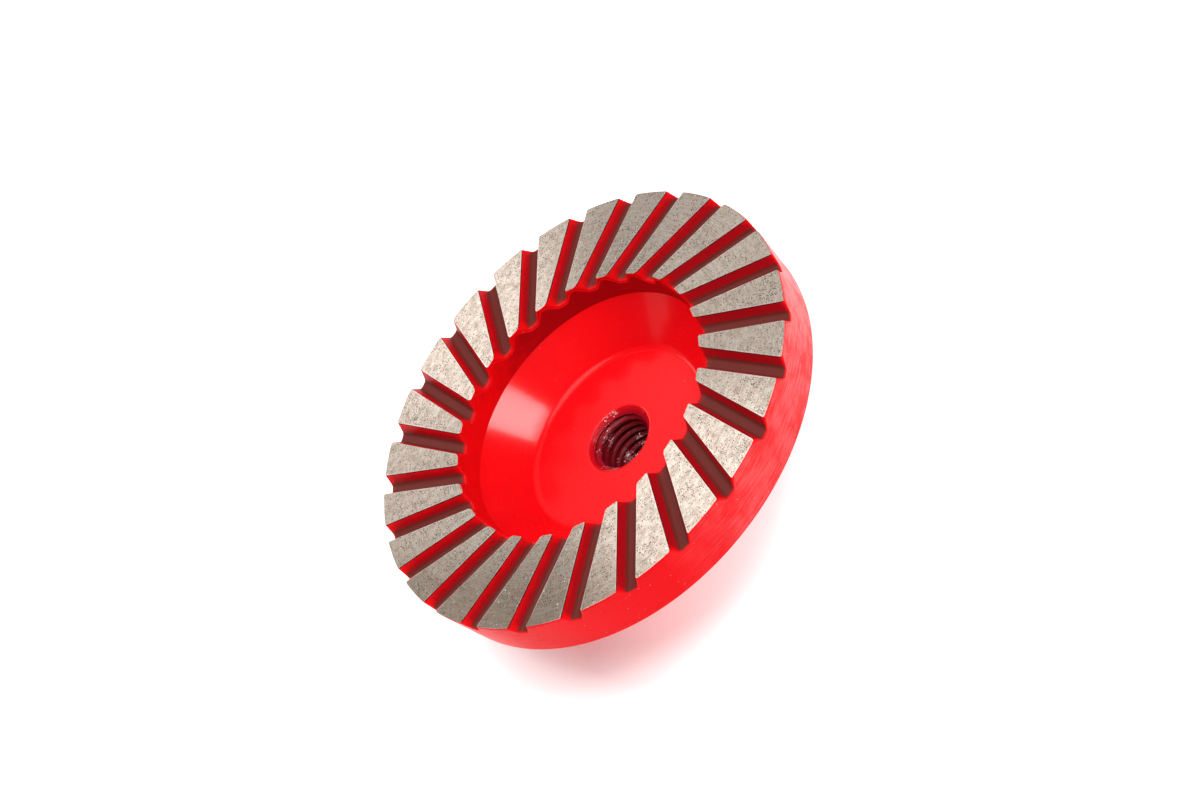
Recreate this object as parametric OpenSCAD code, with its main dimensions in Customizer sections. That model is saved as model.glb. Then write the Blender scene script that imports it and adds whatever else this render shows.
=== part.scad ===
// Diamond cup wheel for an angle grinder: a turned steel cup with a tapped hub,
// and a sintered diamond ring bonded to the cup's rim.
// Millimetres. +Z runs along the spindle axis from the hub's back face (z = 0)
// to the grinding face.

/* [Wheel] */
// Outer diameter of the wheel
wheel_d = 100; // [90:1:180]
// Height from the hub's back face to the grinding face
wheel_h = 30; // [25:0.5:45]

/* [Diamond ring] */
// Width of the ring, from its bore to its outer wall
ring_w = 20; // [12:0.5:24]
// Height of the ring above the steel rim
ring_h = 6.7; // [4.5:0.1:9]
// How much the ring's bore opens towards the face, on the radius
ring_taper = 0.4; // [0:0.1:1]
// Bevel ground round the outer edge of the face
edge_bevel = 0.3; // [0.2:0.1:1]
// How much the outer wall draws in from the face to the back of the steel rim, on the radius
wall_draw = 1.25; // [0.4:0.05:2]

/* [Slots] */
// Number of slots, and so of teeth
slot_count = 24; // [12:1:26]
// Width of a slot at the face
slot_w = 4.5; // [3:0.1:5.5]
// Width of a slot's flat floor, measured between the sharp corners
slot_floor_w = 1.9; // [1.4:0.1:2.6]
// Depth of a slot below the face
slot_depth = 2.4; // [2:0.1:3.5]
// Rounding where a slot's walls meet its floor
slot_round = 0.8; // [0.2:0.05:0.85]
// Distance by which a slot's centre line misses the spindle axis
slot_skew = 13.3; // [0:0.1:16]

/* [Steel cup] */
// Thickness of the flat rim that carries the ring
rim_t = 5.5; // [3:0.1:7]
// Thickness of the cup's cone and floor
wall_t = 5; // [3:0.1:6]
// Depth of the cup, from the grinding face to the floor
cup_depth = 15; // [12:0.5:20]
// Slope of the cone above the floor, in degrees
cone_angle = 45; // [35:1:60]
// Rounding of the rim's back edge
rim_round = 0.6; // [0.3:0.1:1.5]
// Rounding where the cone starts and ends inside the cup
cone_round = 1; // [0.4:0.1:2]
// Rounding where the cone starts and ends on the back
back_round = 2.5; // [1:0.1:4]

/* [Hub] */
// Outer diameter of the hub
hub_d = 30; // [24:0.5:36]
// Chamfer round the hub's back face
hub_chamfer = 1; // [0.5:0.1:2]
// Rounding at the foot of the hub, where it meets the cup
hub_round = 2; // [0.5:0.1:3]
// Nominal diameter of the spindle thread
thread_d = 14; // [10:1:16]
// Pitch of the spindle thread
thread_pitch = 2; // [1:0.25:2.5]
// Countersink at the floor of the cup, diameter
countersink_d = 15.4; // [15:0.1:20]
// Countersink at the hub's back face, diameter
lead_in_d = 14.6; // [14:0.1:18]

/* [Hidden] */
$fn = 96;
// Largest turn from one chord to the next in a rounded corner, in degrees
corner_turn = 9;
// Length by which a cutter runs past what it cuts
over = 1;

// Radii and heights that follow from the sizes above
wheel_r = wheel_d / 2;
ring_bore_r = wheel_r - ring_w;
cone_top_r = ring_bore_r - ring_taper;
land_z = wheel_h - ring_h;
rim_back_z = land_z - rim_t;
floor_z = wheel_h - cup_depth;
floor_back_z = floor_z - wall_t;
cone_foot_r = cone_top_r - (land_z - floor_z) / tan(cone_angle);

// The outer wall of ring and rim is one cone, widest just below the bevel
function outer_r(z) =
    wheel_r - wall_draw * (wheel_h - edge_bevel - z) / (wheel_h - edge_bevel - rim_back_z);

// The back of the cone runs parallel to its front, one wall thickness away
function back_cone_r(z) =
    cone_top_r - (land_z - z) / tan(cone_angle) + wall_t / sin(cone_angle);

hub_r = hub_d / 2;
// Tip diameter of an internal thread of 60 degree form
thread_bore_d = thread_d - 1.0825 * thread_pitch;

// Lean of a slot's walls from upright, in degrees
slot_draft = atan((slot_w - slot_floor_w) / 2 / slot_depth);

// Unit vector from a to b
function towards(a, b) = (b - a) / norm(b - a);

// Points of an arc of radius r that rounds the corner b of the path a, b, c
function corner_arc(a, b, c, r) =
    let (
        u = towards(b, a),
        v = towards(b, c),
        half = acos(u * v) / 2,
        centre = b + towards([0, 0], u + v) * r / sin(half),
        start = b + u * r / tan(half) - centre,
        side = sign(start[0] * (b - centre)[1] - start[1] * (b - centre)[0]),
        sweep = side * (180 - 2 * half),
        steps = ceil((180 - 2 * half) / corner_turn)
    )
    [for (i = [0:steps])
        let (t = sweep * i / steps)
        centre + [
            start[0] * cos(t) - start[1] * sin(t),
            start[0] * sin(t) + start[1] * cos(t)
        ]];

// A closed section from corners [r, z, rounding], with each corner rounded by its third value
function rounded_section(corners) =
    let (n = len(corners), at = function (i) [corners[i % n][0], corners[i % n][1]])
    [for (i = [0:n - 1])
        each corners[i][2] > 0
            ? corner_arc(at(i + n - 1), at(i), at(i + 1), corners[i][2])
            : [at(i)]];

// The dished steel blank: floor, cone and the flat rim that carries the ring
module dish() {
    rotate_extrude()
        polygon(rounded_section([
            [0, floor_back_z, 0],
            [back_cone_r(floor_back_z), floor_back_z, back_round],
            [back_cone_r(rim_back_z), rim_back_z, back_round],
            [outer_r(rim_back_z), rim_back_z, rim_round],
            [outer_r(land_z), land_z, 0],
            [cone_top_r, land_z, 0],
            [cone_foot_r, floor_z, cone_round],
            [0, floor_z, 0]
        ]));
}

// The boss behind the floor that seats on the grinder's spindle flange
module hub() {
    rotate_extrude()
        polygon([
            [0, 0],
            [hub_r - hub_chamfer, 0],
            [hub_r, hub_chamfer],
            each corner_arc(
                [hub_r, hub_chamfer],
                [hub_r, floor_back_z],
                [hub_r + hub_round * 2, floor_back_z],
                hub_round
            ),
            [hub_r + hub_round, floor_back_z + wall_t / 2],
            [0, floor_back_z + wall_t / 2]
        ]);
}

// Cutter for the tapped hole: the thread's tip cylinder with a countersink at each end
module spindle_bore() {
    bore_r = thread_bore_d / 2;
    front_r = countersink_d / 2;
    back_r = lead_in_d / 2;
    translate([0, 0, -over])
        cylinder(h = floor_z + 2 * over, r = bore_r);
    translate([0, 0, floor_z - (front_r - bore_r)])
        cylinder(h = front_r - bore_r + over, r1 = bore_r, r2 = front_r + over);
    translate([0, 0, -over])
        cylinder(h = back_r - bore_r + over, r1 = back_r + over, r2 = bore_r);
}

module cup_body() {
    color("#e0141a")
        difference() {
            union() {
                dish();
                hub();
            }
            spindle_bore();
        }
}

// The plain sintered ring before its slots: a tapered bore and outer wall, and a bevelled outer edge
module ring_blank() {
    rotate_extrude()
        polygon([
            [cone_top_r, land_z],
            [outer_r(land_z), land_z],
            [wheel_r, wheel_h - edge_bevel],
            [wheel_r - edge_bevel, wheel_h],
            [ring_bore_r, wheel_h]
        ]);
}

// Section of a slot: a flat floor with rounded corners and walls that lean outwards, open at the top
module slot_section() {
    lip = slot_w / 2 + over * tan(slot_draft);
    polygon(rounded_section([
        [-lip, over, 0],
        [-slot_floor_w / 2, -slot_depth, slot_round],
        [slot_floor_w / 2, -slot_depth, slot_round],
        [lip, over, 0]
    ]));
}

// One slot, cut straight across the ring beside the spindle axis
module slot() {
    translate([0, slot_skew, wheel_h])
        rotate([90, 0, 90])
            linear_extrude(height = wheel_r + over)
                slot_section();
}

module diamond_ring() {
    color("#b5aca0")
        difference() {
            ring_blank();
            for (i = [0:slot_count - 1])
                rotate([0, 0, i * 360 / slot_count])
                    slot();
        }
}

cup_body();
diamond_ring();
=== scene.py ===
import bpy
import numpy as np
from mathutils import Matrix, Vector


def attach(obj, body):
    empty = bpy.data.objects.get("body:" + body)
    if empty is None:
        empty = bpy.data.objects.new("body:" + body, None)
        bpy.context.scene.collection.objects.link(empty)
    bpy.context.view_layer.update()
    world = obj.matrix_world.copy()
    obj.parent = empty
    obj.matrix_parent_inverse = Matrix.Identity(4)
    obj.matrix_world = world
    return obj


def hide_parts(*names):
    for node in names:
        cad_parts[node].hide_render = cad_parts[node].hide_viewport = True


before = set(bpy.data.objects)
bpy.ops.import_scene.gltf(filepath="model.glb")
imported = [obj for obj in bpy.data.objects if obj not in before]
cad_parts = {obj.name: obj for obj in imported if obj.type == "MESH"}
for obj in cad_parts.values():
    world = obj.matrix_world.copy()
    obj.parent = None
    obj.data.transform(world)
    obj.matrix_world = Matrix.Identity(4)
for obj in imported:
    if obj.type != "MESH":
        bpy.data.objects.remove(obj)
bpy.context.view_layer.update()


# Studio table and camera
# The wheel lies face up on a white table, and the camera looks into the cup from above the
# side with the nearer teeth, rolled to one side.

bpy.context.scene.view_settings.view_transform = "Standard"
camera_lens = 73.99  # mm, on a 36 mm wide sensor
camera_tilt = np.radians(-50.20)  # about the picture's right-hand axis
camera_roll = np.radians(50.66)  # about the line of sight
wheel_turn = np.radians(-5.78)  # turns the slots to where they lie under the camera
face_height = 0.030
camera_offset = np.array([0.00510, 0.00039, 0.49285])  # from the middle of the face, in camera axes

tilt_cos, tilt_sin = np.cos(camera_tilt), np.sin(camera_tilt)
roll_cos, roll_sin = np.cos(camera_roll), np.sin(camera_roll)
turn_cos, turn_sin = np.cos(wheel_turn), np.sin(wheel_turn)
tilted = np.array([[1, 0, 0], [0, tilt_cos, -tilt_sin], [0, tilt_sin, tilt_cos]])
rolled = np.array([[roll_cos, -roll_sin, 0], [roll_sin, roll_cos, 0], [0, 0, 1]])
turned = np.array([[turn_cos, -turn_sin, 0], [turn_sin, turn_cos, 0], [0, 0, 1]])
camera_axes = turned @ (rolled @ tilted).T  # columns: right, up and back of the picture
camera_place = camera_axes @ camera_offset + [0, 0, face_height]

camera_data = bpy.data.cameras.new("camera")
camera_data.sensor_width = 36
camera_data.lens = camera_lens
camera_data.clip_start = 0.01
camera_data.clip_end = 20
camera = bpy.data.objects.new("camera", camera_data)
bpy.context.scene.collection.objects.link(camera)
camera_turned = Matrix(camera_axes.tolist()).to_4x4()
camera.matrix_world = Matrix.Translation(Vector(camera_place)) @ camera_turned
bpy.context.scene.camera = camera


def node_material(name):
    """An empty node material with a Principled shader wired to its output."""
    material = bpy.data.materials.new(name)
    material.use_nodes = True
    tree = material.node_tree
    tree.nodes.clear()
    shader = tree.nodes.new("ShaderNodeBsdfPrincipled")
    output = tree.nodes.new("ShaderNodeOutputMaterial")
    tree.links.new(shader.outputs["BSDF"], output.inputs["Surface"])
    return material, tree, shader


def wired(tree, kind, sockets, **settings):
    """A shader node with its settings, where each socket gets a value or a link from an output."""
    made = tree.nodes.new("ShaderNode" + kind)
    for key, value in settings.items():
        setattr(made, key, value)
    for key, value in sockets.items():
        if isinstance(value, bpy.types.NodeSocket):
            tree.links.new(value, made.inputs[key])
        else:
            made.inputs[key].default_value = value
    return made


def maths(tree, operation, *values, **settings):
    """The result of a Math node on up to three values or outputs."""
    sockets = dict(enumerate(values))
    return wired(tree, "Math", sockets, operation=operation, **settings).outputs[0]


def ranged(tree, value, start, end, low=0.0, high=1.0):
    """Value carried from the range start to end over to the range low to high, held at both."""
    sockets = {"Value": value, "From Min": start, "From Max": end, "To Min": low, "To Max": high}
    return wired(tree, "MapRange", sockets).outputs["Result"]


def along(tree, place, direction):
    """How far a place lies along a direction."""
    sockets = {0: place, 1: direction}
    return wired(tree, "VectorMath", sockets, operation="DOT_PRODUCT").outputs["Value"]


table_paper, table_tree, table_shader = node_material("table_paper")
table_shader.inputs["Base Color"].default_value = (0.72, 0.72, 0.72, 1)
table_shader.inputs["Roughness"].default_value = 0.9
table_shader.inputs["Specular IOR Level"].default_value = 0.1
table_shader.inputs["Emission Color"].default_value = (1, 1, 1, 1)

# The paper glows a little: painted light, strongest towards the front light's side and away from
# the wheel, least in the wheel's own shadow, which ends about 60 mm from the spindle axis
table_place = wired(table_tree, "TexCoord", {}).outputs["Object"]
table_side = along(table_tree, table_place, (0.75, -0.66, 0))
table_lit = ranged(table_tree, table_side, -0.02, 0.03, 0.27, 0.85)
table_far = wired(table_tree, "VectorMath", {0: table_place}, operation="LENGTH").outputs["Value"]
table_away = ranged(table_tree, table_far, 0.044, 0.062, 0.25, 0.85)
painted_table_glow = maths(table_tree, "MAXIMUM", table_lit, table_away)
table_tree.links.new(painted_table_glow, table_shader.inputs["Emission Strength"])

table_mesh = bpy.data.meshes.new("table")
table_mesh.from_pydata([(-6, -6, 0), (6, -6, 0), (6, 6, 0), (-6, 6, 0)], [], [(0, 1, 2, 3)])
table_mesh.materials.append(table_paper)
table = bpy.data.objects.new("table", table_mesh)
bpy.context.scene.collection.objects.link(table)


# Studio light
# A dark studio, so that the paint keeps its full red where it mirrors the room. A round dish
# overhead lights face and table, and the box in front shows as the pale window on the cone. A
# spot and two nested domes behind show on the cup's floor, and low panels on the cone's far side.

world = bpy.data.worlds.new("studio")
bpy.context.scene.world = world
world.use_nodes = True
world.node_tree.nodes["Background"].inputs["Color"].default_value = (1, 1, 1, 1)
world.node_tree.nodes["Background"].inputs["Strength"].default_value = 0.04


def softbox(name, toward, distance, width, height, glow, shape="RECTANGLE", roll=0):
    """An area light at distance along toward, turned to the wheel's face and rolled by roll
    degrees about that line; its power is glow (W/m2/sr) times pi times its area."""
    fill = np.pi / 4 if shape == "ELLIPSE" else 1  # share of width x height that shines
    data = bpy.data.lights.new(name, "AREA")
    data.shape = shape
    data.size = width
    data.size_y = height
    data.energy = glow * np.pi * width * height * fill
    lamp = bpy.data.objects.new(name, data)
    bpy.context.scene.collection.objects.link(lamp)
    direction = Vector(toward).normalized()
    place = Matrix.Translation(direction * distance + Vector((0, 0, face_height)))
    facing = direction.to_track_quat("Z", "Y").to_matrix().to_4x4()
    lamp.matrix_world = place @ facing @ Matrix.Rotation(np.radians(roll), 4, "Z")
    return lamp


softbox("front_box", (0.44, -0.51, 0.74), 1.1, 0.51, 0.22, 13.8)
softbox("overhead_dish", (-0.11, -0.10, 1.0), 1.3, 1.1, 1.1, 4.6, "ELLIPSE")
softbox("rear_spot", (-0.11, 0.845, 0.52), 1.4, 0.36, 0.36, 5.0, "ELLIPSE")
for share in (1.0, 0.6):
    softbox("back_dome", (0.35, 0.45, 0.82), 1.3, 1.3 * share, 1.3 * share, 0.6, "ELLIPSE")
for share in (1.0, 0.72, 0.46, 0.22):
    low_width, low_height = 1.8 * share, 0.4 * share
    softbox("low_panel", (-0.76, 0.55, 0.32), 1.4, low_width, low_height, 0.42, roll=-34)


# Cup body
# One steel cup, forged and then turned, with the flat rim that carries the ring, a cone, a flat
# floor and a hub tapped M14 x 2 right through. Red gloss paint covers all of it.

cup_red = (0.93, 0.003, 0.007)
face_z = 30.0
land_z = 23.3  # the ring sits on the rim here
rim_back_z = 17.8
floor_z = 15.0
floor_back_z = 10.0
ring_out = 50.0
wall_draw = 1.25  # how much nearer the axis the wall is at the rim's back than at the face
bevel_z = face_z - 0.3  # the outer wall is widest here, below the ground edge
wall_slope = wall_draw / (bevel_z - rim_back_z)  # how fast the wall draws in towards the back
rim_back_r = ring_out - wall_draw
cone_top_r = 29.6
cone_foot_r = 21.3
cone_back_top_r = 31.17
cone_back_foot_r = 23.37
hub_r = 15.0
hub_chamfer = 1.0
thread_pitch = 2.0
thread_tip_r = 5.9175
thread_root_r = 7.0 - 0.06  # less the paint that gathers in the root
countersink_r = 7.7
lead_in_r = 7.3  # the countersink at the hub's back


def turned_section(corners, step=9.0, longest=2.5):
    """Points of a lathe profile: each corner (r, z, rounding) becomes an arc that touches both of
    its sides, one point every step degrees; straight runs get a point at least every longest mm,
    and one close to each end that keeps the shading of the corner off the flat."""
    out = []
    for a, b, c, rounding in corners:
        a, b, c = (np.array(p, float) for p in (a, b, c))
        if rounding == 0:
            out.append(b[None])
            continue
        u = (a - b) / np.linalg.norm(a - b)
        v = (c - b) / np.linalg.norm(c - b)
        half = np.arccos(np.clip(u @ v, -1, 1)) / 2
        centre = b + (u + v) / np.linalg.norm(u + v) * rounding / np.sin(half)
        start = b + u * rounding / np.tan(half) - centre
        side = np.sign(start[0] * (b - centre)[1] - start[1] * (b - centre)[0])
        sweep = side * (np.pi - 2 * half)
        turn = np.linspace(0, sweep, int(np.ceil(abs(np.degrees(sweep)) / step)) + 1)
        out.append(centre + np.stack([start[0] * np.cos(turn) - start[1] * np.sin(turn),
                                      start[0] * np.sin(turn) + start[1] * np.cos(turn)], 1))
    points = np.concatenate(out)
    gaps = np.linalg.norm(np.diff(points, axis=0), axis=1)
    runs = []
    for p, q, gap in zip(points[:-1], points[1:], gaps):
        share = np.linspace(0, 1, max(int(np.ceil(gap / longest)), 1), endpoint=False)
        if gap > 1:
            share = np.sort(np.concatenate([share, [0.12 / gap, 1 - 0.12 / gap]]))
        runs.append(p + (q - p) * share[:, None])
    return np.concatenate(runs + [points[-1:]])


def cornered(path):
    """Each corner of a path [(r, z, rounding)] with its two neighbours, for turned_section."""
    last = len(path) - 1
    return [
        (path[max(i - 1, 0)][:2], p[:2], path[min(i + 1, last)][:2], p[2])
        for i, p in enumerate(path)
    ]


def thread_wall(z, angle):
    """Radius of the tapped wall: a 60 degree internal thread whose groove follows a right-hand
    helix, with its crests and roots softened by paint, opened by a 45 degree countersink at each
    end."""
    phase = (z / thread_pitch - angle / (2 * np.pi)) % 1.0
    from_root = np.abs(phase - 0.5)  # in pitches
    flank = np.clip((from_root - 1 / 16) / (5 / 16), 0, 1)
    flank = 0.45 * flank + 0.55 * flank * flank * (3 - 2 * flank)
    radius = thread_root_r - (thread_root_r - thread_tip_r) * flank
    front = countersink_r + z - floor_z
    back = lead_in_r - z
    return np.maximum(radius, np.maximum(front, back))


def spun_shell(name, radius, height, angles):
    """A closed shell from grids of radius and height (rows run round the section, columns round
    the axis): point = (radius cos angle, radius sin angle, height), last row joined to the
    first."""
    rows, columns = radius.shape
    points = np.stack([radius * np.cos(angles), radius * np.sin(angles), height], -1)
    verts = points.reshape(-1, 3) / 1000
    i, j = np.meshgrid(np.arange(rows), np.arange(columns), indexing="ij")
    i2, j2 = (i + 1) % rows, (j + 1) % columns
    corners = [i * columns + j, i2 * columns + j, i2 * columns + j2, i * columns + j2]
    quads = np.stack(corners, -1).reshape(-1, 4)
    mesh = bpy.data.meshes.new(name)
    mesh.from_pydata(verts.tolist(), [], quads.tolist())
    mesh.polygons.foreach_set("use_smooth", np.ones(len(quads), bool))
    mesh.update()
    mesh.set_sharp_from_angle(angle=np.radians(38))
    piece = bpy.data.objects.new(name, mesh)
    bpy.context.scene.collection.objects.link(piece)
    return piece


cup_outside = turned_section(cornered([
    (lead_in_r, 0, 0), (hub_r - hub_chamfer, 0, 0.25), (hub_r, hub_chamfer, 0.4),
    (hub_r, floor_back_z, 2),
    (cone_back_foot_r, floor_back_z, 2.5), (cone_back_top_r, rim_back_z, 2.5),
    (rim_back_r, rim_back_z, 0.6), (ring_out - wall_slope * (bevel_z - land_z), land_z, 0),
    (cone_top_r, land_z, 0), (cone_foot_r, floor_z, 2.2), (countersink_r, floor_z, 0.5),
    (countersink_r - 0.5, floor_z - 0.5, 0),
]))
cup_columns = 240
cup_angles = np.arange(cup_columns) * 2 * np.pi / cup_columns
bore_z = np.linspace(floor_z - 0.55, 0.02, 184)
bore_grid_z, bore_angles = np.meshgrid(bore_z, cup_angles, indexing="ij")
cup_radius = np.concatenate([
    np.repeat(cup_outside[:, :1], cup_columns, 1), thread_wall(bore_grid_z, bore_angles)])
cup_height = np.concatenate([np.repeat(cup_outside[:, 1:], cup_columns, 1), bore_grid_z])
cup_body = spun_shell("cup", cup_radius, cup_height, cup_angles[None])


def ramp(tree, factor, *stops):
    """A colour ramp from (position, colour) stops; a single number is a grey."""
    made = wired(tree, "ValToRGB", {"Fac": factor})
    elements = made.color_ramp.elements
    while len(elements) < len(stops):
        elements.new(0.5)
    for element, (position, colour) in zip(elements, stops):
        element.position = position
        element.color = (*((colour,) * 3 if np.isscalar(colour) else colour), 1)
    return made.outputs["Color"]


def noise(tree, place, scale, detail, **sockets):
    """Noise from 0 to 1 about 0.5, over place."""
    sockets = {"Vector": place, "Scale": scale, "Detail": detail, **sockets}
    return wired(tree, "TexNoise", sockets).outputs["Fac"]


def blended(tree, factor, below, above, **settings):
    """The colour that goes from below to above with factor."""
    sockets = {"Factor": factor, "A": below, "B": above}
    return wired(tree, "Mix", sockets, data_type="RGBA", **settings).outputs["Result"]


def painted(tree, attribute_name):
    """A float attribute of the mesh."""
    return wired(tree, "Attribute", {}, attribute_name=attribute_name).outputs["Fac"]


def gloss_paint(name, colour, film_roughness, coat_weight, coat_roughness, grain, specks):
    """Sprayed gloss paint: a red that deepens a little in drifts, the turned or sintered surface
    showing through the film as streaks round the axis, orange peel, and dust caught in the film."""
    material, tree, shader = node_material(name)
    place = wired(tree, "TexCoord", {}).outputs["Object"]
    round_axis = wired(tree, "UVMap", {}, uv_map="turned").outputs["UV"]
    streak_place = wired(tree, "Mapping", {"Vector": round_axis, "Scale": (150, 60, 1)}).outputs[0]
    streak = noise(tree, streak_place, 1, 4)
    drift = noise(tree, place, 55, 5)
    drift = maths(tree, "MULTIPLY_ADD", streak, grain, drift)
    deeper = tuple(c * 0.86 for c in colour)
    red = ramp(tree, drift, (0.3 + 0.42 * grain, deeper), (0.7 + 0.55 * grain, colour))
    dust = wired(tree, "TexVoronoi", {"Vector": place, "Scale": 2200}, feature="F1")
    dust_seed = wired(tree, "SeparateColor", {"Color": dust.outputs["Color"]}).outputs["Red"]
    chosen = maths(tree, "GREATER_THAN", dust_seed, 1 - specks)
    near = maths(tree, "LESS_THAN", dust.outputs["Distance"], 0.25)
    speck = maths(tree, "MULTIPLY", chosen, near)
    tinted = blended(tree, speck, red, (0.80, 0.22, 0.20, 1))
    peel = noise(tree, place, 900, 3)
    relief = maths(tree, "MULTIPLY", peel, 0.35)
    relief = maths(tree, "MULTIPLY_ADD", streak, 2.5 * grain, relief)
    relief = maths(tree, "MULTIPLY_ADD", speck, 0.6, relief)
    strength = 0.03 + 0.35 * grain
    bump = wired(tree, "Bump", {"Height": relief, "Strength": strength, "Distance": 0.0002})
    sheen = ramp(tree, streak, (0.35, film_roughness * 0.85), (0.7, film_roughness * 1.2))
    shader.inputs["Coat Weight"].default_value = coat_weight
    shader.inputs["Coat Roughness"].default_value = coat_roughness
    tree.links.new(tinted, shader.inputs["Base Color"])
    tree.links.new(sheen, shader.inputs["Roughness"])
    tree.links.new(bump.outputs["Normal"], shader.inputs["Normal"])
    tree.links.new(bump.outputs["Normal"], shader.inputs["Coat Normal"])
    return material, tree, shader


def wrap_round(mesh, angle, across):
    """The UV map "turned" of a spun shell: across the section in mm / 50, and the angle in turns,
    carried on past a full turn in the last column so that no face runs backwards."""
    corner_vertex = np.zeros(len(mesh.loops), np.int32)
    mesh.loops.foreach_get("vertex_index", corner_vertex)
    turns = (angle.ravel()[corner_vertex] / (2 * np.pi)).reshape(-1, 4)
    turns = turns + (turns.max(1, keepdims=True) - turns > 0.5)
    uv = np.stack([across.ravel()[corner_vertex] / 50, turns.ravel()], 1)
    mesh.uv_layers.new(name="turned").data.foreach_set("uv", uv.ravel().astype(np.float32))


section_step = np.hypot(np.diff(cup_radius[:, 0]), np.diff(cup_height[:, 0]))
cup_across = np.concatenate([[0], np.cumsum(section_step)])[:, None] * np.ones((1, cup_columns))
wrap_round(cup_body.data, cup_angles[None] * np.ones((len(cup_radius), 1)), cup_across)
cup_paint, tree, shader = gloss_paint("cup_paint", cup_red, 0.24, 0.5, 0.13, 0.02, 0.002)
shader.inputs["Specular IOR Level"].default_value = 0.1
# The film is duller where it gathered in the corner between cone and floor
cup_row_r, cup_row_z = cup_radius.mean(1), cup_height.mean(1)
off_corner = np.hypot(cup_row_r - cone_foot_r - 0.1, cup_row_z - floor_z - 0.3) / 1.3
cup_gloss = 0.5 * np.clip(0.2 + 0.8 * (off_corner - 0.6) / 0.4, 0.2, 1)
gloss_attribute = cup_body.data.attributes.new("gloss", "FLOAT", "POINT")
gloss_attribute.data.foreach_set("value", np.repeat(cup_gloss, cup_columns).astype(np.float32))
tree.links.new(painted(tree, "gloss"), shader.inputs["Coat Weight"])

# On the outer wall the film came out glossier on the side that faced the spray
wall_paint, tree, shader = gloss_paint("wall_paint", cup_red, 0.40, 0.0, 0.35, 0.6, 0.012)
shader.inputs["Specular IOR Level"].default_value = 0.03
wall_place = wired(tree, "TexCoord", {}).outputs["Object"]
wall_side = along(tree, wall_place, (-0.68, -0.73, 0))
wall_gloss = ranged(tree, wall_side, 0.033, 0.046, 0.75, 0.0)
wall_round = wired(tree, "UVMap", {}, uv_map="turned").outputs["UV"]
wall_lines = wired(tree, "Mapping", {"Vector": wall_round, "Scale": (150, 60, 1)}).outputs[0]
wall_streak = noise(tree, wall_lines, 1, 4)
wall_worn = ramp(tree, wall_streak, (0.34, 0.35), (0.5, 0.9), (0.66, 1.6))
wall_cloud = noise(tree, wall_place, 240, 4)
wall_cloudy = ramp(tree, wall_cloud, (0.36, 0.5), (0.64, 1.5))
wall_worn = maths(tree, "MULTIPLY", wall_worn, wall_cloudy)
wall_gloss = maths(tree, "MULTIPLY", wall_gloss, wall_worn, use_clamp=True)
tree.links.new(wall_gloss, shader.inputs["Coat Weight"])

# In the tapped hole the red is darker, and darkens further downwards from the countersink, as
# painted shade in the hole; the paint is rubbed through to bright steel in small spots
thread_paint, tree, shader = gloss_paint("thread_paint", cup_red, 0.36, 0.22, 0.12, 0.9, 0.03)
shader.inputs["Specular IOR Level"].default_value = 0.05
paint_place = wired(tree, "TexCoord", {}).outputs["Object"]
paint_height = wired(tree, "SeparateXYZ", {"Vector": paint_place}).outputs["Z"]
# Painted shade: the red darkens downwards from the countersink
painted_shade_by_height = ranged(tree, paint_height, 0.0128, 0.0151)
thread_red = ramp(
    tree, painted_shade_by_height,
    (0.0, (0.22, 0.003, 0.010)), (0.5, (0.36, 0.003, 0.012)), (1.0, (0.72, 0.003, 0.008)))
rubbed_spots = noise(tree, paint_place, 2600, 2)
rubbed_where = noise(tree, paint_place, 260, 1)
rubbed = maths(tree, "MULTIPLY_ADD", rubbed_where, 1.2, rubbed_spots)
rubbed = ranged(tree, rubbed, 1.33, 1.42, 0.0, 0.8)
thread_skin = blended(tree, rubbed, thread_red, (0.95, 0.62, 0.62, 1))
tree.links.new(thread_skin, shader.inputs["Base Color"])
tree.links.new(rubbed, shader.inputs["Metallic"])
for material in (cup_paint, thread_paint, wall_paint):
    cup_body.data.materials.append(material)
cup_row_paint = np.where(np.arange(len(cup_radius)) >= len(cup_outside) - 1, 1, 0)
cup_quad_r = np.minimum(cup_row_r, np.roll(cup_row_r, -1))
on_outer_wall = (cup_quad_r > rim_back_r - 0.25) & (cup_row_z > rim_back_z + 0.4)
cup_row_paint[on_outer_wall] = 2
cup_row_paint[(cup_row_r < countersink_r + 0.05) & (cup_row_z > 0.1)] = 1
cup_quad_paint = np.repeat(cup_row_paint, cup_columns).astype(np.int32)
cup_body.data.polygons.foreach_set("material_index", cup_quad_paint)
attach(cup_body, "root")
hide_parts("cup_body")


# Diamond ring
# One ring of sintered metal bond and diamond grit, pressed in a die that leaves the skewed slots
# and bonded on the rim. It is painted with the cup, then its face is ground bare.

slot_count = 24
slot_half = 2.25
slot_deep = 2.4
slot_floor_half = 0.95
slot_round = 0.8
slot_offset = 13.3
ring_in_top = 30.0
ring_in_foot = cone_top_r
corner_in = 0.7
corner_out = 0.5
worn_edge = 0.3

slot_lean = np.arctan((slot_half - slot_floor_half) / slot_deep)
slot_flat = slot_floor_half - slot_round / np.tan(np.pi / 4 + slot_lean / 2)
slot_round_z = slot_round - slot_deep


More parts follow.
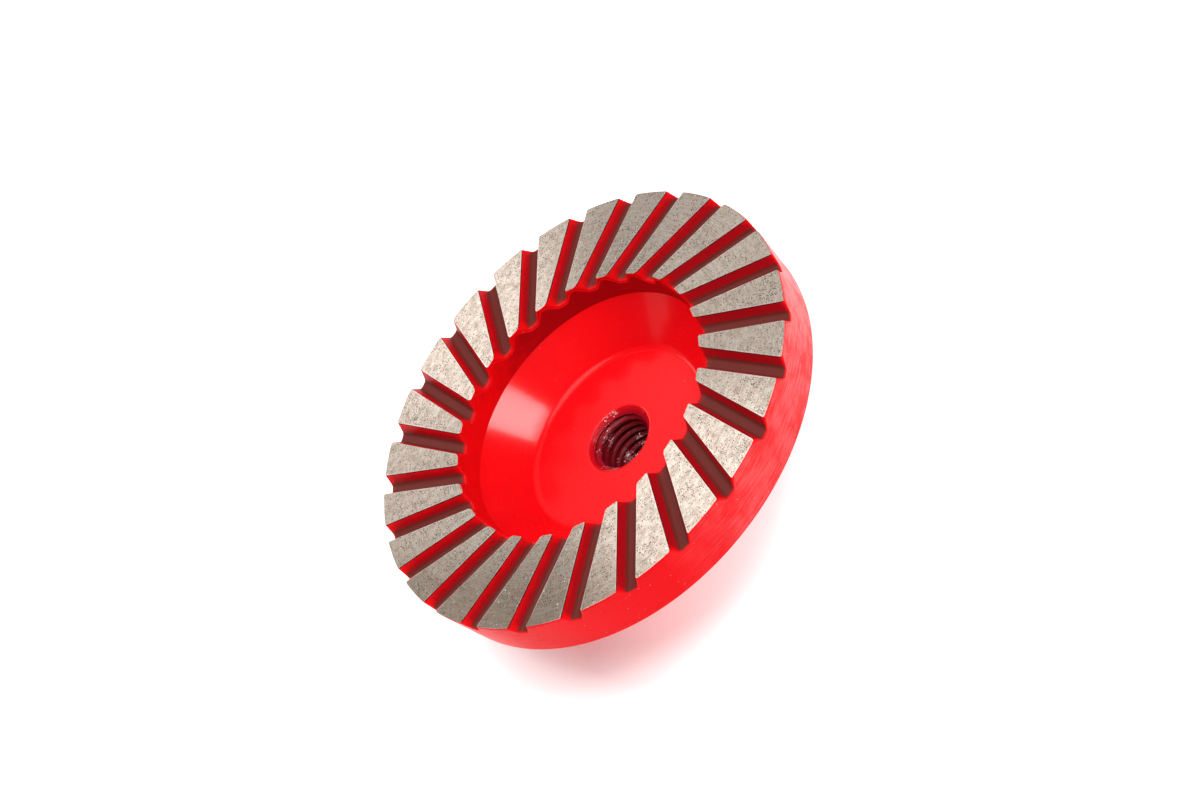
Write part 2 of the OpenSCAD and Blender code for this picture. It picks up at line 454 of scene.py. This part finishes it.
def slot_half_section(opened):
    """Half a slot from the middle of its floor to its lip, for each widening in opened: a flat
    floor, an arc about the end of the flat, widened a little, and a straight wall to the widened
    lip."""
    opened = np.atleast_1d(opened)[:, None]
    radius = slot_round + 0.35 * opened
    arc = np.linspace(-np.pi / 2, -slot_lean, 8)[None]
    arc_w = slot_flat + radius * np.cos(arc)
    arc_z = slot_round_z + radius * np.sin(arc)
    floor_w = slot_flat * np.array([0, 0.35, 0.7, 0.93])[None] * np.ones_like(radius)
    floor_z = arc_z[:, :1] * np.ones((1, 4))
    lip_w = slot_flat + (slot_round + opened - slot_round_z * np.sin(slot_lean)) / np.cos(slot_lean)
    up = np.array([0.05, 0.3, 0.6, 0.85, 0.96, 1.0])[None]
    wall_w = arc_w[:, -1:] + (lip_w - arc_w[:, -1:]) * up
    wall_z = arc_z[:, -1:] * (1 - up)
    return np.concatenate([floor_w, arc_w, wall_w], 1), np.concatenate([floor_z, arc_z, wall_z], 1)


# Rows of the ring's section, from the foot of its bore over the face to the foot of its wall
wall_up = np.array([0, 0.02, 0.18, 0.36, 0.54, 0.72, 0.88])
wall_rows = len(wall_up)
quarter = np.radians(np.linspace(0, 90, 8))
inner_run = corner_in * (1 - np.cos(quarter))
outer_run = corner_out * (1 - np.cos(quarter))
face_run = np.linspace(ring_in_top + corner_in, ring_out - corner_out, 14)[1:-1]
row_r = np.concatenate([np.full(wall_rows, ring_in_top), ring_in_top + inner_run, face_run,
                        ring_out - outer_run[::-1], np.full(wall_rows, ring_out)])
row_opened = np.concatenate([
    np.full(wall_rows, corner_in), corner_in * (1 - np.sin(quarter)), np.zeros(len(face_run)),
    corner_out * (1 - np.sin(quarter[::-1])), np.full(wall_rows, corner_out)])
row_up = np.concatenate([wall_up, np.ones(len(row_r) - 2 * wall_rows), wall_up[::-1]])
row_edge = np.minimum(row_r - ring_in_top, ring_out - row_r)
row_arc = np.sqrt(np.clip(worn_edge**2 - (worn_edge - row_edge)**2, 0, None))
row_worn = np.where(row_edge < worn_edge, worn_edge - row_arc, 0)

# Columns of one tooth's pitch: a slot from lip to lip, then the tooth to the next slot's lip
half_w, half_z = slot_half_section(row_opened)
slot_w = np.concatenate([-half_w[:, ::-1], half_w[:, 1:]], 1)
slot_z = np.concatenate([half_z[:, ::-1], half_z[:, 1:]], 1)
tooth_share = np.array([
    0.012, 0.04, 0.12, 0.22, 0.33, 0.44, 0.56, 0.67, 0.78, 0.88, 0.96, 0.988])[None]
pitch = 2 * np.pi / slot_count
plan_r = row_r[:, None]
slot_angle = np.arcsin((slot_offset + slot_w) / plan_r)
tooth_start = slot_angle[:, -1:]
tooth_end = slot_angle[:, :1] + pitch
tooth_angle = tooth_start + (tooth_end - tooth_start) * tooth_share
tooth_wide = (tooth_end - tooth_start) * plan_r * 0.9
tooth_lip = np.minimum(tooth_share, 1 - tooth_share) * tooth_wide
pitch_angle = np.concatenate([slot_angle, tooth_angle], 1)
pitch_top = np.concatenate([slot_z, np.zeros_like(tooth_angle)], 1)
pitch_top = face_z + pitch_top - row_worn[:, None] * np.clip(1 + pitch_top / slot_deep, 0, 1)
pitch_lip = np.concatenate([np.zeros_like(slot_w), np.minimum(tooth_lip, row_edge[:, None])], 1)
pitch_z = land_z + (pitch_top - land_z) * row_up[:, None]

ring_angles = np.concatenate([pitch_angle + k * pitch for k in range(slot_count)], 1)
ring_height = np.tile(pitch_z, (1, slot_count))
ring_lip = np.tile(pitch_lip, (1, slot_count))
ring_bore = ring_in_foot + (ring_in_top - ring_in_foot) * (ring_height - land_z) / (face_z - land_z)
ring_wall = plan_r - wall_slope * np.clip(bevel_z - ring_height, 0, None)
on_wall = plan_r > ring_out - corner_out - 0.01
ring_radius = np.where(on_wall, ring_wall, plan_r)
ring_radius[:wall_rows] = ring_bore[:wall_rows]
ring = spun_shell("ring", ring_radius, ring_height, ring_angles)

# How far down a slot each point lies, how far along it from its mouths, and how near its lips
slot_depth_share = (face_z - ring_height) / slot_deep * (ring_height > land_z + 2) * (ring_lip == 0)
ring_sunk = np.clip((slot_depth_share - 0.55) / 0.35, 0, 1)
mouth_share = np.minimum((row_r - ring_in_top) / 0.9, (ring_out - row_r) / 0.5)
ring_sunk *= np.clip(mouth_share, 0, 1)[:, None]
lip_share = 1 - np.clip(-pitch_top[:, :slot_w.shape[1]] + face_z, 0, 0.3) / 0.3
pitch_brink = np.concatenate([lip_share, np.zeros_like(tooth_angle)], 1)
ring_brink = np.tile(pitch_brink * (row_edge > 0.3)[:, None], (1, slot_count))
# Painted shade in the slots and the bore: darker deeper into each slot, in the slots round one side
# of the ring, and round the side of the bore that lies in shadow
ring_painted_shade = 0.1 + 0.9 * np.clip(slot_depth_share * 1.3, 0, 1)
ring_painted_shade = np.clip(row_edge / 1.8, 0, 1)[:, None] * ring_painted_shade
slot_side_shade = np.clip((np.cos(ring_angles + 1.05) - 0.1) / 0.7, 0, 1)
ring_painted_shade += 0.55 * slot_side_shade * np.clip(row_edge / 0.9, 0, 1)[:, None]
bore_side_shade = np.clip((np.cos(ring_angles - 0.2) + 0.15) / 0.75, 0, 1) * 0.9
ring_painted_shade = np.where(plan_r < ring_in_top + 0.01, bore_side_shade, ring_painted_shade)
ring_attributes = {"lip": ring_lip, "sunk": ring_sunk, "brink": ring_brink, "painted_shade": ring_painted_shade}
for attribute_name, values in ring_attributes.items():
    attribute = ring.data.attributes.new(attribute_name, "FLOAT", "POINT")
    attribute.data.foreach_set("value", values.ravel().astype(np.float32))
wrap_round(ring.data, ring_angles, np.where(row_up[:, None] == 1, ring_radius, 60 - ring_height))


def slot_paint(name):
    """The coat in the slots and the bore: bright red at the mouths, darkened by painted shade
    further in and round the ring's shaded side, dark brown on the slots' floors, where the rough
    bond partly shows through and painted shade deepens it, and chipped dark along the lips."""
    material, tree, shader = gloss_paint(name, cup_red, 0.45, 0.0, 0.25, 0.5, 0.01)
    place = wired(tree, "TexCoord", {}).outputs["Object"]
    mottle = noise(tree, place, 420, 5)
    # Painted shade, with the mottle: the red darkens further in and round the shaded side
    painted_shade = painted(tree, "painted_shade")
    mottle_and_shade = maths(tree, "MULTIPLY_ADD", mottle, 0.6, painted_shade)
    red = ramp(
        tree, mottle_and_shade,
        (0.35, (0.94, 0.004, 0.007)), (0.85, (0.60, 0.003, 0.007)), (1.0, (0.46, 0.004, 0.009)))
    # The slots' floors turn dark brown: partly the rough bond showing through, partly painted shade
    # deep in the slots
    sunk = painted(tree, "sunk")
    bare = maths(tree, "MULTIPLY_ADD", mottle, 0.5, sunk)
    bare = ranged(tree, bare, 0.35, 1.15, 0.0, 0.92)
    floor = blended(tree, bare, red, (0.115, 0.027, 0.021, 1))
    chip_noise = noise(tree, place, 2400, 2)
    brink = painted(tree, "brink")
    chipped = maths(tree, "MULTIPLY_ADD", chip_noise, 0.9, brink)
    chipped = ranged(tree, chipped, 0.72, 0.95)
    edged = blended(tree, chipped, floor, (0.07, 0.006, 0.006, 1))
    tree.links.new(edged, shader.inputs["Base Color"])
    shader.inputs["Specular IOR Level"].default_value = 0.08
    return material


def ground_metal(name):
    """Sintered bond ground bare: pale warm metal that drifts from greenish to pinkish, dotted
    with dark pits in clusters and brown ones between, scored by the grinding, with painted shade
    towards one side, painted glints on the crystals and a painted highlight along the lips."""
    material, tree, shader = node_material(name)
    place = wired(tree, "TexCoord", {}).outputs["Object"]

    def dotted(scale, share, size):
        """Round spots: 1 inside size of the middle of a Voronoi cell, in a share of the cells."""
        cells = wired(tree, "TexVoronoi", {"Vector": place, "Scale": scale}, feature="F1")
        seed = wired(tree, "SeparateColor", {"Color": cells.outputs["Color"]}).outputs["Red"]
        chosen = maths(tree, "LESS_THAN", seed, share)
        inside = ranged(tree, cells.outputs["Distance"], size, size * 0.6)
        return maths(tree, "MULTIPLY", chosen, inside)

    def scored(turn):
        """Noise drawn out along the grinding direction, in a map turned by turn radians."""
        round_axis = wired(tree, "UVMap", {}, uv_map="turned").outputs["UV"]
        placed = {"Vector": round_axis, "Rotation": (0, 0, turn), "Scale": (420, 30, 1)}
        drawn = wired(tree, "Mapping", placed).outputs[0]
        return noise(tree, drawn, 1, 3)

    drift = wired(tree, "TexNoise", {"Vector": place, "Scale": 620, "Detail": 2}).outputs["Color"]
    drift = wired(tree, "SeparateColor", {"Color": drift})
    bond = ramp(
        tree, drift.outputs["Red"],
        (0.36, (0.38, 0.31, 0.215)), (0.5, (0.43, 0.315, 0.225)), (0.64, (0.49, 0.30, 0.235)))
    grain = noise(tree, place, 3300, 4, Roughness=0.7)
    smeared = maths(tree, "MULTIPLY_ADD", drift.outputs["Green"], 0.7, grain)
    land = ranged(tree, smeared, 0.60, 1.0)
    metal = blended(tree, land, bond, (0.88, 0.775, 0.68, 1))
    # Painted shade: the metal darkens and browns towards one side of the ring
    side = along(tree, place, (-0.927, -0.375, 0))
    painted_side_shade = ranged(tree, side, 0.030, 0.042)
    side_shade_tone = ramp(tree, painted_side_shade, (0.0, 1.0), (1.0, (0.66, 0.62, 0.58)))
    metal = blended(tree, 1.0, metal, side_shade_tone, blend_type="MULTIPLY")
    score = scored(0)
    scoring = ramp(tree, score, (0.34, 0.70), (0.5, 1.0), (0.7, 1.1))
    metal = blended(tree, 1.0, metal, scoring, blend_type="MULTIPLY")
    cross_score = ramp(tree, scored(0.9), (0.60, 0.0), (0.68, 0.7))
    metal = blended(tree, cross_score, metal, (0.96, 0.88, 0.80, 1))
    crowd = noise(tree, place, 190, 3)
    pit_share = ranged(tree, crowd, 0.44, 0.68, 0.05, 0.5)
    pit = dotted(3000, pit_share, 0.46)
    brown = dotted(2100, 0.26, 0.42)
    metal = blended(tree, brown, metal, (0.36, 0.22, 0.17, 1))
    metal = blended(tree, pit, metal, (0.085, 0.07, 0.06, 1))
    # Painted glints: near-white dots on the diamond crystals, also raised in the bump
    painted_glint = dotted(1900, 0.09, 0.3)
    metal = blended(tree, painted_glint, metal, (1.0, 0.98, 0.93, 1))
    # Painted highlight: a pale pinkish rim along the teeth's lips, standing in for light caught on
    # a rounded edge
    lip = painted(tree, "lip")
    ragged = maths(tree, "MULTIPLY_ADD", crowd, -0.8, lip)
    painted_lip_highlight = ranged(tree, ragged, -0.22, -0.36, 0.0, 0.7)
    metal = blended(tree, painted_lip_highlight, metal, (0.98, 0.80, 0.74, 1))
    height = maths(tree, "MULTIPLY_ADD", grain, 0.5, score)
    height = maths(tree, "MULTIPLY_ADD", cross_score, -0.5, height)
    height = maths(tree, "MULTIPLY_ADD", pit, -1.2, height)
    height = maths(tree, "MULTIPLY_ADD", painted_glint, 0.8, height)
    bumped = {"Height": height, "Strength": 0.35, "Distance": 0.0001}
    bump = wired(tree, "Bump", bumped).outputs["Normal"]
    tangent = wired(tree, "Tangent", {}, direction_type="UV_MAP", uv_map="turned")
    shader.inputs["Anisotropic"].default_value = 0.85
    tree.links.new(ramp(tree, land, (0.0, 0.45), (1.0, 0.95)), shader.inputs["Metallic"])
    tree.links.new(metal, shader.inputs["Base Color"])
    tree.links.new(ramp(tree, pit, (0.0, 0.52), (1.0, 0.8)), shader.inputs["Roughness"])
    tree.links.new(bump, shader.inputs["Normal"])
    tree.links.new(tangent.outputs["Tangent"], shader.inputs["Tangent"])
    return material


for material in (wall_paint, slot_paint("slot_paint"), ground_metal("ring_metal")):
    ring.data.materials.append(material)
row_ground = (row_up == 1) & (row_edge >= 0.06)
on_face = (row_ground & np.roll(row_ground, -1))[:, None]
column_in_slot = np.tile(np.arange(pitch_angle.shape[1]) < slot_w.shape[1] - 1, slot_count)[None]
row_in_slot = (row_up == 1)[:, None] & (np.roll(row_up, -1) == 1)[:, None]
ring_paint_index = np.where(row_in_slot & column_in_slot, 1, 0)
ring_paint_index = np.where(on_face & ~column_in_slot, 2, ring_paint_index)
ring_paint_index[:wall_rows - 1] = 1
ring.data.polygons.foreach_set("material_index", ring_paint_index.ravel().astype(np.int32))
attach(ring, "root")
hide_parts("diamond_ring")
